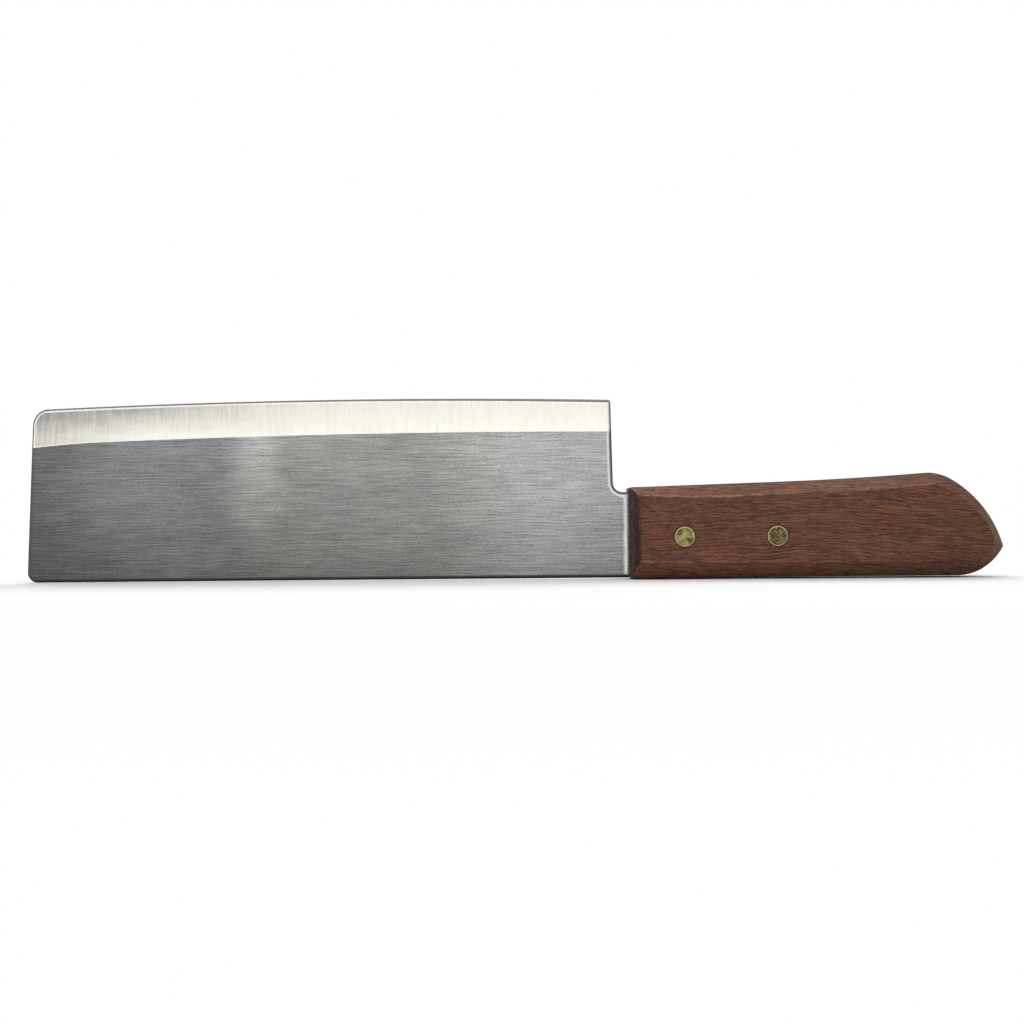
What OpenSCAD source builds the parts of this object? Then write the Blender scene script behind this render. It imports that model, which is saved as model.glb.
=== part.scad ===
// Light rectangular vegetable cleaver with a riveted one-piece wooden handle.
// It stands on its spine with the cutting edge up. X runs from the blade's square end
// to the butt, Y through the thickness, and Z from the spine to the cutting edge.

/* [Blade] */
// Length of the blade, from its square end to the heel at the notch
blade_len = 180; // [140:1:230]
// Height of the blade where the cutting edge is highest
blade_h = 55.4; // [46:0.1:75]
// Thickness of the steel sheet, the same in the blade and the tang
steel_t = 1.5; // [1.2:0.1:2.4]
// Radius of the slightly bowed cutting edge
edge_r = 2600; // [1600:50:6000]
// Distance from the heel forward to the highest point of the cutting edge
edge_peak_x = 65; // [40:1:100]
// Lean of the square end, in degrees, so that it is longer at the spine
end_lean = 2.5; // [0:0.1:6]
// Radius of the corner between the square end and the cutting edge
end_top_r = 5; // [2:0.5:10]
// Radius of the corner between the square end and the spine
end_low_r = 3; // [1:0.5:8]
// Lean of the heel, in degrees, so that it is longer at the notch
heel_lean = 1.3; // [0:0.1:5]
// Radius of the heel's point at the cutting edge
heel_point_r = 0.8; // [0.5:0.1:3]

/* [Grind] */
// Width of the ground bevel at its shallowest place
bevel_w = 10.4; // [6:0.1:16]
// Radius of the line where the bevel meets the flat of the blade
bevel_r = 3500; // [1600:50:6000]
// Distance from the heel forward to the highest point of that line
bevel_peak_x = 35; // [20:1:100]
// Half of the thickness that the bevel leaves behind the cutting edge
bevel_left = 0.16; // [0.12:0.01:0.3]
// Height of the fine finishing bevel along the cutting edge
hone_w = 0.5; // [0.3:0.1:1]
// Half of the thickness of the cutting edge itself
hone_left = 0.04; // [0.03:0.01:0.06]
// Width of the eased edge down the heel, round the notch and along the neck
ease_w = 1.5; // [0.6:0.1:2]
// Depth of that eased edge
ease_d = 0.4; // [0.1:0.05:0.5]

/* [Tang] */
// Length of the neck between the heel and the handle
neck_len = 4.5; // [4:0.5:15]
// Height of the neck and the tang
neck_h = 26.2; // [20:0.1:27]
// Radius in the corner between the heel and the neck
notch_r = 3; // [2:0.5:3.5]
// Length of the tang inside the handle
tang_len = 60; // [54:1:75]
// Radius of the tang's two hidden corners
tang_r = 5; // [1:0.5:9]

/* [Handle] */
// Length of the handle
handle_len = 113.5; // [105:0.5:140]
// Thickness of the handle
handle_t = 18; // [14:0.5:26]
// Height of the handle where the blade goes in
front_h = 27.6; // [27.4:0.1:31]
// Rise of the straight part of the handle's top, in degrees
top_rise = 1.65; // [0:0.05:2.5]
// Length of that straight part
top_straight = 44; // [25:1:60]
// Radius of the hollow sweep from there up to the hump
sweep_r = 1000; // [600:20:3000]
// Radius of the hump
hump_r = 14; // [8:0.5:20]
// Radius of the butt above its point
butt_r = 34.4; // [32:0.1:42]
// Height of that radius's centre
butt_mid_h = -0.3; // [-3:0.1:2]
// Height of the butt's point
point_h = 8.8; // [6:0.1:12]
// Radius of the butt below its point
under_r = 15.8; // [13:0.1:22]
// Depth of the chamfers on the front, the underside and the butt, through the thickness
chamfer_d = 3.2; // [1.5:0.1:4.5]
// Width of the chamfer round the butt
butt_chamfer_w = 2.6; // [1.5:0.1:4.5]
// Width of the chamfer on the front
front_chamfer_w = 3.4; // [1.5:0.1:5]
// Width of the chamfer on the underside
low_chamfer_w = 4.5; // [1.5:0.1:6]
// Width of the chamfer on the top where it is widest, at the hump
top_chamfer_w = 4.2; // [3:0.1:6]
// Depth of that chamfer at its widest
top_chamfer_d = 3.4; // [1.5:0.1:4.5]
// Height of the lower border of that chamfer at the handle's front
top_chamfer_h = 24.2; // [23:0.1:26]
// Rise of that border, in degrees
top_chamfer_rise = 1.9; // [1.5:0.05:2.5]

/* [Rivets] */
// Distance from the handle's front to the first rivet
rivet_x = 16.5; // [11:0.5:22]
// Distance from the first rivet to the second
rivet_pitch = 28; // [18:0.5:30]
// Height of the rivets
rivet_h = 12.5; // [11:0.1:16]
// Radius of the rivet heads
head_r = 3.2; // [2.8:0.1:4]
// Thickness of the rivet heads
head_t = 1.2; // [0.8:0.1:2]
// Depth of the rivet heads below the face of the wood
head_sunk = 0.05; // [0.05:0.05:0.5]
// Width of the rounded rim of the rivet heads
rim_w = 0.25; // [0.1:0.05:0.5]
// Radius of the tubular half of a rivet
sleeve_r = 2; // [1.8:0.1:2.4]
// Wall of the tubular half
sleeve_wall = 0.6; // [0.4:0.05:0.8]
// Distance that the solid half stops short of the tubular half's closed end
stud_short = 2; // [0.5:0.5:6]
// Gap between the tubular half's open end and the solid half's head
sleeve_short = 0.4; // [0.2:0.1:1.5]

/* [Fits] */
// Room on each side of the tang in the sawn slot
slot_clear = 0.05; // [0.05:0.01:0.2]
// Room behind the tang in the sawn slot
slot_end_clear = 1; // [0.3:0.1:3]
// Room round the rivets in the wood, on the radius
wood_clear = 0.05; // [0.02:0.01:0.15]
// Room round the rivets in the steel, on the radius
steel_clear = 0.15; // [0.05:0.01:0.3]
// Room between the two halves of a rivet, on the radius
press_clear = 0.02; // [0.01:0.01:0.05]

/* [Hidden] */

// Colours of the three materials
steel = [0.62, 0.63, 0.64];
wood = [0.36, 0.20, 0.15];
brass = [0.70, 0.62, 0.36];

// Facets of a full turn for the display mesh, for small and for very large arcs
fine = 96;
finest = 11520;
// Greatest distance between a round part of an outline and the straight stretches it is drawn with
arc_error = 0.01;
// How far a cutting shape runs past the surface that it cuts
past = 1;
// How far a sloping cut runs on past both of its borders, as a share of its width
run_on = 0.25;
// How far a cut along an arc runs on into its neighbour, in degrees
overlap = 5;

// Places along X, with the whole knife centred on the origin
end_x = -(blade_len + neck_len + handle_len) / 2;
heel_x = end_x + blade_len;
handle_x = heel_x + neck_len;
half_t = steel_t / 2;

// Directions up the leaning square end and up the leaning heel
end_up = [sin(end_lean), cos(end_lean)];
heel_up = [-sin(heel_lean), cos(heel_lean)];
// Directions from those two edges into the steel
end_in = [cos(end_lean), -sin(end_lean)];
heel_in = [-cos(heel_lean), -sin(heel_lean)];
end_foot = [end_x, 0];
heel_foot = [heel_x, neck_h];

// Centres of the cutting edge's arc and of the bevel's upper and lower borders
edge_c = [heel_x - edge_peak_x, blade_h - edge_r];
bevel_c = [heel_x - bevel_peak_x, blade_h - bevel_w - bevel_r];
// The bevel is at most this much wider than at its shallowest place
bevel_out_r = bevel_r + bevel_w;
bevel_d = half_t - bevel_left;
hone_d = bevel_left - hone_left;

// Centre of a circle of radius r that touches a line from inside and an arc from inside.
// The line starts at foot and runs along up, inward is its normal into the steel, and
// the arc has radius big about mid.
function tucked(foot, up, inward, r, mid, big) =
    let (start = foot + r * inward - mid)
    let (along = start * up)
    let (reach = sqrt(along * along - start * start + (big - r) * (big - r)))
    foot + r * inward + (reach - along) * up;
// Point that is r away from centre on the way to target
function towards(centre, target, r) = centre + r * (target - centre) / norm(target - centre);
// Points along an arc from one angle to another, leaving out those before the first
function arc(centre, r, from, to, first = 0) =
    let (steps = ceil(abs(to - from) / (2 * acos(1 - arc_error / r))))
    [
        for (step = [first:steps])
            let (angle = from + (to - from) * step / steps)
            centre + r * [cos(angle), sin(angle)]
    ];
// Angle of the direction from one point to another
function bearing(from, to) = atan2(to.y - from.y, to.x - from.x);
// Right-hand crossing of a circle about a with a circle about b that lies above it
function crossing(a, ra, b, rb) =
    let (gap = norm(b - a))
    let (way = (b - a) / gap)
    let (along = (ra * ra - rb * rb + gap * gap) / (2 * gap))
    a + along * way + sqrt(ra * ra - along * along) * [way.y, -way.x];

// Corner circles of the blade
end_top_c = tucked(end_foot, end_up, end_in, end_top_r, edge_c, edge_r);
heel_point_c = tucked(heel_foot, heel_up, heel_in, heel_point_r, edge_c, edge_r);
end_low_c = [end_x + end_low_r * (1 + sin(end_lean)) / cos(end_lean), end_low_r];
notch_c = [heel_x + notch_r * (1 - sin(heel_lean)) / cos(heel_lean), neck_h + notch_r];

// Handle outline, with its own X from the handle's front
straight_end = [top_straight, front_h + top_straight * tan(top_rise)];
sweep_c = straight_end + sweep_r * [-sin(top_rise), cos(top_rise)];
butt_c = [handle_len - sqrt(butt_r ^ 2 - (point_h - butt_mid_h) ^ 2), butt_mid_h];
under_c = [handle_len - sqrt(under_r ^ 2 - (under_r - point_h) ^ 2), under_r];
hump_c = crossing(butt_c, butt_r - hump_r, sweep_c, sweep_r + hump_r);
sweep_end = towards(hump_c, sweep_c, hump_r);
hump_end = towards(butt_c, hump_c, butt_r);
handle_point = [handle_len, point_h];
// Points from the underside round the butt and over the hump
butt_points = [
    each arc(under_c, under_r, -90, bearing(under_c, handle_point)),
    each arc(butt_c, butt_r, bearing(butt_c, handle_point), bearing(butt_c, hump_end), first = 1),
    each arc(hump_c, hump_r, bearing(butt_c, hump_end), bearing(hump_c, sweep_end), first = 1),
];
wood_half_t = handle_t / 2;

// Rivets lie along Y, so their profiles use the distance from the middle of the handle
head_out = wood_half_t - head_sunk;
head_in = head_out - head_t;
stud_r = sleeve_r - sleeve_wall - press_clear;
stud_end = head_in - stud_short;
rivet_xs = [handle_x + rivet_x, handle_x + rivet_x + rivet_pitch];

// Turns a flat outline in X and Z into a plate centred on Y = 0
module plate(thickness) {
    rotate([90, 0, 0])
        linear_extrude(height = thickness, center = true)
            children();
}

// Section of a sloping cut: no depth at the distance wide from a border, deep at the border
function slope_section(border, wide, deep, half, side) = [
    [border - wide * (1 + run_on), side * (half + deep * run_on)],
    [border + wide * run_on, side * (half - deep * (1 + run_on))],
    [border + wide * run_on, side * (half + deep * run_on)],
];

// Sloping cuts on both faces along a straight border, with the solid on the left of it
module straight_slope(from, to, wide, deep, half) {
    rotate([90, 0, 0])
        translate([from.x, from.y, 0])
            rotate([0, 0, bearing(from, to)])
                rotate([90, 0, 90])
                    linear_extrude(height = norm(to - from))
                        for (side = [-1, 1])
                            polygon(slope_section(0, -wide, deep, half, side));
}

// Sloping cuts on both faces along an arc, wide being negative where the solid is outside it
module arc_slope(centre, r, wide, deep, half, from, to, facets) {
    rotate([90, 0, 0])
        translate([centre.x, centre.y, 0])
            rotate([0, 0, from])
                rotate_extrude(angle = to - from, $fn = facets)
                    for (side = [-1, 1])
                        polygon(slope_section(r, wide, deep, half, side));
}

// Outline of the blade, neck and tang in X and Z
module blade_outline() {
    tang_mid_x = handle_x + tang_len - tang_r;
    edge_from = bearing(edge_c, heel_point_c);
    edge_to = bearing(edge_c, end_top_c);
    polygon([
        each arc(end_low_c, end_low_r, 180 - end_lean, 270),
        each arc([tang_mid_x, tang_r], tang_r, 270, 360),
        each arc([tang_mid_x, neck_h - tang_r], tang_r, 0, 90),
        each arc(notch_c, notch_r, 270, 180 + heel_lean),
        each arc(heel_point_c, heel_point_r, heel_lean, edge_from),
        each arc(edge_c, edge_r, edge_from, edge_to, first = 1),
        each arc(end_top_c, end_top_r, edge_to, 180 - end_lean, first = 1),
    ]);
}

// Wide bevel that thins the blade towards the cutting edge
module bevel_cut() {
    left = bearing(bevel_c, [end_x - past, blade_h]);
    right = bearing(bevel_c, [heel_x + past, blade_h]);
    arc_slope(bevel_c, bevel_out_r, bevel_w, bevel_d, half_t, right, left, finest);
}

// Fine finishing bevel along the cutting edge
module hone_cut() {
    left = bearing(edge_c, [end_x - past, blade_h]);
    right = bearing(edge_c, [heel_x + past, blade_h]);
    arc_slope(edge_c, edge_r, hone_w, hone_d, bevel_left, right, left, finest);
}

// Eased edge down the heel, round the notch and along the neck
module ease_cut() {
    heel_top = heel_foot + (blade_h + past - neck_h) / heel_up.y * heel_up;
    notch_left = notch_c + notch_r * heel_in;
    notch_low = [notch_c.x, neck_h];
    straight_slope(notch_left, heel_top, ease_w, ease_d, half_t);
    straight_slope([handle_x, neck_h], notch_low, ease_w, ease_d, half_t);
    arc_slope(notch_c, notch_r, -ease_w, ease_d, half_t,
        180 + heel_lean - overlap, 270 + overlap, fine);
}

// Steel sheet blade with its neck and the stub tang, drilled for the rivets
module blade() {
    color(steel)
        difference() {
            plate(steel_t)
                blade_outline();
            bevel_cut();
            hone_cut();
            ease_cut();
            rivet_places()
                cylinder(r = sleeve_r + steel_clear, h = steel_t + 2 * past, center = true, $fn = fine);
        }
}

// Puts its children on the axis of each rivet, with Z along that axis
module rivet_places() {
    for (x = rivet_xs)
        translate([x, 0, rivet_h])
            rotate([90, 0, 0])
                children();
}

// Outline of the handle from the side, in its own X and Z
module handle_outline() {
    polygon([
        [0, 0],
        each butt_points,
        each arc(sweep_c, sweep_r, bearing(sweep_c, sweep_end), 270 + top_rise - 360, first = 1),
        [0, front_h],
    ]);
}

// Chamfers round both sides of the handle, in the handle's own X and Z
module handle_chamfers() {
    top_border = [0, top_chamfer_h + top_chamfer_w];
    top_way = [1, tan(top_chamfer_rise)];
    straight_slope([0, front_h + past], [0, -past], front_chamfer_w, chamfer_d, wood_half_t);
    straight_slope([-past, 0], [handle_len, 0], low_chamfer_w, chamfer_d, wood_half_t);
    straight_slope(top_border + (handle_len + past) * top_way, top_border - past * top_way,
        top_chamfer_w, top_chamfer_d, wood_half_t);
    for (place = [1:len(butt_points) - 1])
        let (from = butt_points[place - 1])
        let (to = butt_points[place])
        let (step = past * (to - from) / norm(to - from))
        straight_slope(from - step, to + step, butt_chamfer_w, chamfer_d, wood_half_t);
}

// One-piece wooden handle, sawn from the front for the tang and drilled for the rivets
module handle() {
    slot_len = tang_len + slot_end_clear;
    slot_t = steel_t + 2 * slot_clear;
    color(wood)
        difference() {
            translate([handle_x, 0, 0])
                difference() {
                    plate(handle_t)
                        handle_outline();
                    handle_chamfers();
                    translate([-past, -slot_t / 2, -past])
                        cube([slot_len + past, slot_t, 2 * butt_r]);
                }
            rivet_places() {
                cylinder(r = sleeve_r + wood_clear, h = handle_t + 2 * past, center = true, $fn = fine);
                for (side = [0, 1])
                    mirror([0, 0, side])
                        translate([0, 0, head_in])
                            cylinder(r = head_r + wood_clear, h = head_t + head_sunk + past, $fn = fine);
            }
        }
}

// Solid half of a rivet, with its head on the near side
module rivet_stud(x) {
    color(brass)
        translate([x, 0, rivet_h])
            rotate([90, 0, 0])
                rotate_extrude($fn = fine)
                    polygon([
                        [0, -stud_end],
                        [stud_r, -stud_end],
                        [stud_r, head_in],
                        [head_r, head_in],
                        [head_r, head_out - rim_w],
                        [head_r - rim_w, head_out],
                        [0, head_out],
                    ]);
}

// Tubular half of a rivet, with its head on the far side
module rivet_sleeve(x) {
    bore_r = sleeve_r - sleeve_wall;
    open_end = head_in - sleeve_short;
    color(brass)
        translate([x, 0, rivet_h])
            rotate([90, 0, 0])
                rotate_extrude($fn = fine)
                    polygon([
                        [0, -head_out],
                        [head_r - rim_w, -head_out],
                        [head_r, -head_out + rim_w],
                        [head_r, -head_in],
                        [sleeve_r, -head_in],
                        [sleeve_r, open_end],
                        [bore_r, open_end],
                        [bore_r, -head_in],
                        [0, -head_in],
                    ]);
}

blade();
handle();
rivet_stud(rivet_xs[0]);  // front_rivet_stud
rivet_sleeve(rivet_xs[0]);  // front_rivet_sleeve
rivet_stud(rivet_xs[1]);  // rear_rivet_stud
rivet_sleeve(rivet_xs[1]);  // rear_rivet_sleeve
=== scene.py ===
import math

import bpy
import numpy as np
from mathutils import Matrix, Vector, noise
from mathutils.geometry import delaunay_2d_cdt


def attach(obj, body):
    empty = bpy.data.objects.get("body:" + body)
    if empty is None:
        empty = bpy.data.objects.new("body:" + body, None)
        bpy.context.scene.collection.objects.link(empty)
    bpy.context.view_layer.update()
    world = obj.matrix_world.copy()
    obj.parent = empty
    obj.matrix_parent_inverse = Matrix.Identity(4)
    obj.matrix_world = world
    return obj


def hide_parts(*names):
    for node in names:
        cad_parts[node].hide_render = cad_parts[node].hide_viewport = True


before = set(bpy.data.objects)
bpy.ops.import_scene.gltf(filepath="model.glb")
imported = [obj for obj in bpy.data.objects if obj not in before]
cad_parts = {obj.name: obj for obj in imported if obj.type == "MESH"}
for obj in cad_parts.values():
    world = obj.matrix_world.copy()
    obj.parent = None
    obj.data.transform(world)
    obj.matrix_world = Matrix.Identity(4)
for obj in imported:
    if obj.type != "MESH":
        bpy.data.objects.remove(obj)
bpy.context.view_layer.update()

MM = 0.001

# Sizes in millimetres, as in the part's source. X and Z are the side view, Y the thickness.
BLADE_LEN, BLADE_H, STEEL_T = 180.0, 55.4, 1.5
EDGE_R, EDGE_PEAK = 2600.0, 65.0
END_LEAN, END_TOP_R, END_LOW_R = 2.5, 5.0, 3.0
HEEL_LEAN, HEEL_POINT_R = 1.3, 0.8
BEVEL_W, BEVEL_R, BEVEL_PEAK, BEVEL_LEFT = 10.4, 3500.0, 35.0, 0.16
HONE_W, HONE_LEFT = 0.5, 0.04
NECK_LEN, NECK_H, NOTCH_R, TANG_LEN, TANG_R = 4.5, 26.2, 3.0, 60.0, 5.0
HANDLE_LEN, HANDLE_T, FRONT_H = 113.5, 18.0, 27.6
TOP_RISE, TOP_STRAIGHT, SWEEP_R, HUMP_R = 1.65, 44.0, 1000.0, 14.0
BUTT_R, BUTT_MID_H, POINT_H, UNDER_R = 34.4, -0.3, 8.8, 15.8
RIVET_XS, RIVET_H = (16.5, 44.5), 12.5
HEAD_R, HEAD_T, HEAD_SUNK = 3.2, 1.2, 0.05
SLEEVE_R, SLEEVE_WALL, STUD_SHORT, SLEEVE_SHORT = 2.0, 0.6, 2.0, 0.4
SLOT_CLEAR, SLOT_END_CLEAR, WOOD_CLEAR, STEEL_CLEAR, PRESS_CLEAR = 0.05, 1.0, 0.05, 0.15, 0.02

END_X = -(BLADE_LEN + NECK_LEN + HANDLE_LEN) / 2
HEEL_X = END_X + BLADE_LEN
HANDLE_X = HEEL_X + NECK_LEN
HALF_T = STEEL_T / 2
WOOD_HALF = HANDLE_T / 2
SLOT_HALF = HALF_T + SLOT_CLEAR
SLOT_LEN = TANG_LEN + SLOT_END_CLEAR


def vec(x, z):
    return np.array([x, z], float)


def polar(centre, r, angle):
    return centre + r * vec(math.cos(math.radians(angle)), math.sin(math.radians(angle)))


def arc(centre, r, start, end, step, first=0):
    """Points along an arc, about step apart."""
    count = max(3, math.ceil(abs(math.radians(end - start)) * r / step))
    return [polar(centre, r, start + (end - start) * i / count) for i in range(first, count + 1)]


def bearing(a, b):
    return math.degrees(math.atan2(b[1] - a[1], b[0] - a[0]))


def tucked(foot, up, inward, r, mid, big):
    """Centre of a circle that touches a line and a big arc from inside."""
    start = foot + r * inward - mid
    along = start @ up
    return foot + r * inward + (math.sqrt(along ** 2 - start @ start + (big - r) ** 2) - along) * up


def crossing(a, ra, b, rb):
    """Where two circles cross, to the right of the way from a to b."""
    gap = np.linalg.norm(b - a)
    way = (b - a) / gap
    along = (ra ** 2 - rb ** 2 + gap ** 2) / (2 * gap)
    return a + along * way + math.sqrt(ra ** 2 - along ** 2) * vec(way[1], -way[0])


def towards(a, b, r):
    return a + r * (b - a) / np.linalg.norm(b - a)


def between(a, b, t):
    """The value a share t of the way from a to b."""
    return a + (b - a) * t


def smooth(t):
    t = min(max(t, 0.0), 1.0)
    return t * t * (3 - 2 * t)


def reaches(line):
    """How far along a polyline each of its points lies."""
    return np.concatenate([[0], np.cumsum(np.linalg.norm(np.diff(line, axis=0), axis=1))])


def triangles(places, edges, shapes):
    """Triangles inside the first shape and outside the others, along all edges."""
    verts, _, faces, origin, _, shape = delaunay_2d_cdt(places, edges, shapes, 1, 1e-6)
    kept = []
    for f, inside in zip(faces, shape):
        if max(inside) == 0:
            p, q, r = (verts[i] for i in f)
            kept.append(list(f) if (q - p).cross(r - p) > 0 else list(f)[::-1])
    return verts, kept, origin


class Piece:
    """Collects the vertices and faces of one piece in millimetres and makes the object."""

    def __init__(self):
        self.verts, self.faces, self.mats, self.painted_light_and_wear = [], [], [], []

    def add(self, points, painted_light_and_wear=0.0):
        start = len(self.verts)
        self.verts += [tuple(p) for p in points]
        self.painted_light_and_wear += list(painted_light_and_wear) if hasattr(painted_light_and_wear, "__len__") else [painted_light_and_wear] * len(points)
        return list(range(start, len(self.verts)))

    def face(self, corners, mat=0):
        clean = [c for i, c in enumerate(corners) if c != corners[i - 1]]
        if len(clean) > 2:
            self.faces.append(clean)
            self.mats.append(mat)

    def strip(self, a, b, mats=0, flip=False):
        """Quads between two closed rows of vertices."""
        for i in range(len(a)):
            j = (i + 1) % len(a)
            quad = [a[i], b[i], b[j], a[j]]
            self.face(quad[::-1] if flip else quad, mats[i] if hasattr(mats, "__len__") else mats)

    def fill(self, loops, mat=0, flip=False):
        """Triangles between an outer loop of vertices and its holes, all in one upright plane."""
        ids = [i for loop in loops for i in loop]
        start, shapes = 0, []
        for loop in loops:
            shapes.append(list(range(start, start + len(loop))))
            start += len(loop)
        places = [Vector(self.verts[i][::2]) for i in ids]
        _, faces, origin = triangles(places, [], shapes)
        for f in faces:
            corners = [ids[origin[i][0]] for i in f]
            self.face(corners[::-1] if flip else corners, mat)

    def make(self, name, nodes, materials, sharp=32.0):
        mesh = bpy.data.meshes.new(name)
        mesh.from_pydata([(x * MM, y * MM, z * MM) for x, y, z in self.verts], [], self.faces)
        for material in materials:
            mesh.materials.append(material)
        mesh.polygons.foreach_set("material_index", self.mats)
        # Per vertex: painted shade and highlights, and the rubbed rims of the rivets.
        painted_light_and_wear = mesh.attributes.new("painted_light_and_wear", "FLOAT", "POINT")
        painted_light_and_wear.data.foreach_set("value", self.painted_light_and_wear)
        mesh.validate()
        mesh.shade_smooth()
        mesh.set_sharp_from_angle(angle=math.radians(sharp))
        obj = bpy.data.objects.new(name, mesh)
        bpy.context.scene.collection.objects.link(obj)
        weighted = obj.modifiers.new("weighted_normals", "WEIGHTED_NORMAL")
        weighted.keep_sharp = True
        weighted.weight = 80
        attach(obj, "root")
        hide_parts(*nodes)
        return obj


# Materials. Colours are linear red, green and blue.
# The steel colours are toned below to paint in its reflections and shade.
COOL_STEEL, WARM_STEEL, POLISHED_HIGHLIGHT = (0.975, 1.0, 1.0), (1.0, 1.005, 0.945), (0.72, 0.71, 0.69)
GROUND_DARK, GROUND_PALE = (1.0, 0.985, 0.93), (1.0, 0.965, 0.87)
# Painted shade on the finishing bevel and on the rounded and eased edges, and a painted highlight on the
# bright arrises.
HONED_SHADE, LINE_HIGHLIGHT = (0.22, 0.22, 0.215), (0.94, 0.93, 0.90)
EASED, EASED_OUTER_SHADE = (0.70, 0.69, 0.67), (0.09, 0.09, 0.09)
ROUNDED_SHADE, ROUNDED_OUTER_SHADE = (0.088, 0.090, 0.093), (0.030, 0.031, 0.033)
WOOD_DARK, WOOD_PALE, PORE = (0.074, 0.025, 0.014), (0.255, 0.098, 0.050), (0.032, 0.014, 0.011)
FLECK, FINE_LINE, ARRIS_HIGHLIGHT = (0.36, 0.155, 0.085), (0.055, 0.022, 0.014), (0.46, 0.29, 0.235)
PAINTED_SHEEN, END_GREY = (0.32, 0.24, 0.21), (0.053, 0.042, 0.045)
BRASS, OLIVE = (0.35, 0.282, 0.112), (0.05, 0.052, 0.03)
BRASS_SCRATCH, BRASS_RIM = (0.50, 0.41, 0.18), (0.66, 0.54, 0.25)

# Changes of tone along a piece: from and to in millimetres from its front, then the value at each. Most of
# them paint reflection and shade into the colour.
FLANK_STEPS = ((0, 38, 0.118, 0.188), (55, 105, 0, 0.056), (118, 155, 0, 0.115), (163, 178, 0, -0.022))
FLANK_LOW, FLANK_HIGH = ((0, 30, 0.045, 0), (125, 165, 0.82, 0.775)), (60, 150, 1.40, 1.27)
FLANK_WARM, FLANK_COOL = (25, 80, 0, 1), (130, 172, 1, 0)
BEVEL_ABOVE, BEVEL_BELOW = (0, 100, 0.265, 0.85), (-8, 42, 0.63, 0.99)
GRAIN_FALL, FOOT_SHADE_H, BUTT_SHADE = (55, 112, 0, 3.2), (25, 95, 2.6, 8.5), (70, 105, 1.0, 0.86)
BUTT_PLAIN, FRONT_SHADE, FRONT_GREY = (89, 98, 1, 0), (0.8, 1.9), (0.5, 1.9, 0.6, 0)

# The pale upright band on the flank is a painted reflection, its polished strip at the handle carries a
# painted highlight, and its square end has painted shade
BAND_X, BAND_HALF, BAND_TONE = 70.5, 12, 0.135
STRIP_FROM, STRIP_TO = HANDLE_X - 1.9, HANDLE_X - 0.55
END_DARK = (0.4, 1.5, 0.76, 1.0)
FLANK_HEIGHTS, BAND_HEIGHTS, BEVEL_HEIGHTS = (2, 41), (4, 44), (44.6, 54.5)

# Depth of the relief, in metres
BRUSHED, GROUND, MARKED, GRAINED, SCRATCHED = 0.00002, 0.00001, 0.00002, 0.0002, 0.00003


def wire(tree, kind, inputs=None, **settings):
    """Adds a node, links or sets its inputs and returns it."""
    made = tree.nodes.new(kind)
    for key, value in settings.items():
        setattr(made, key, value)
    for key, value in (inputs or {}).items():
        if isinstance(value, bpy.types.NodeSocket):
            tree.links.new(value, made.inputs[key])
        else:
            made.inputs[key].default_value = value
    return made


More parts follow.
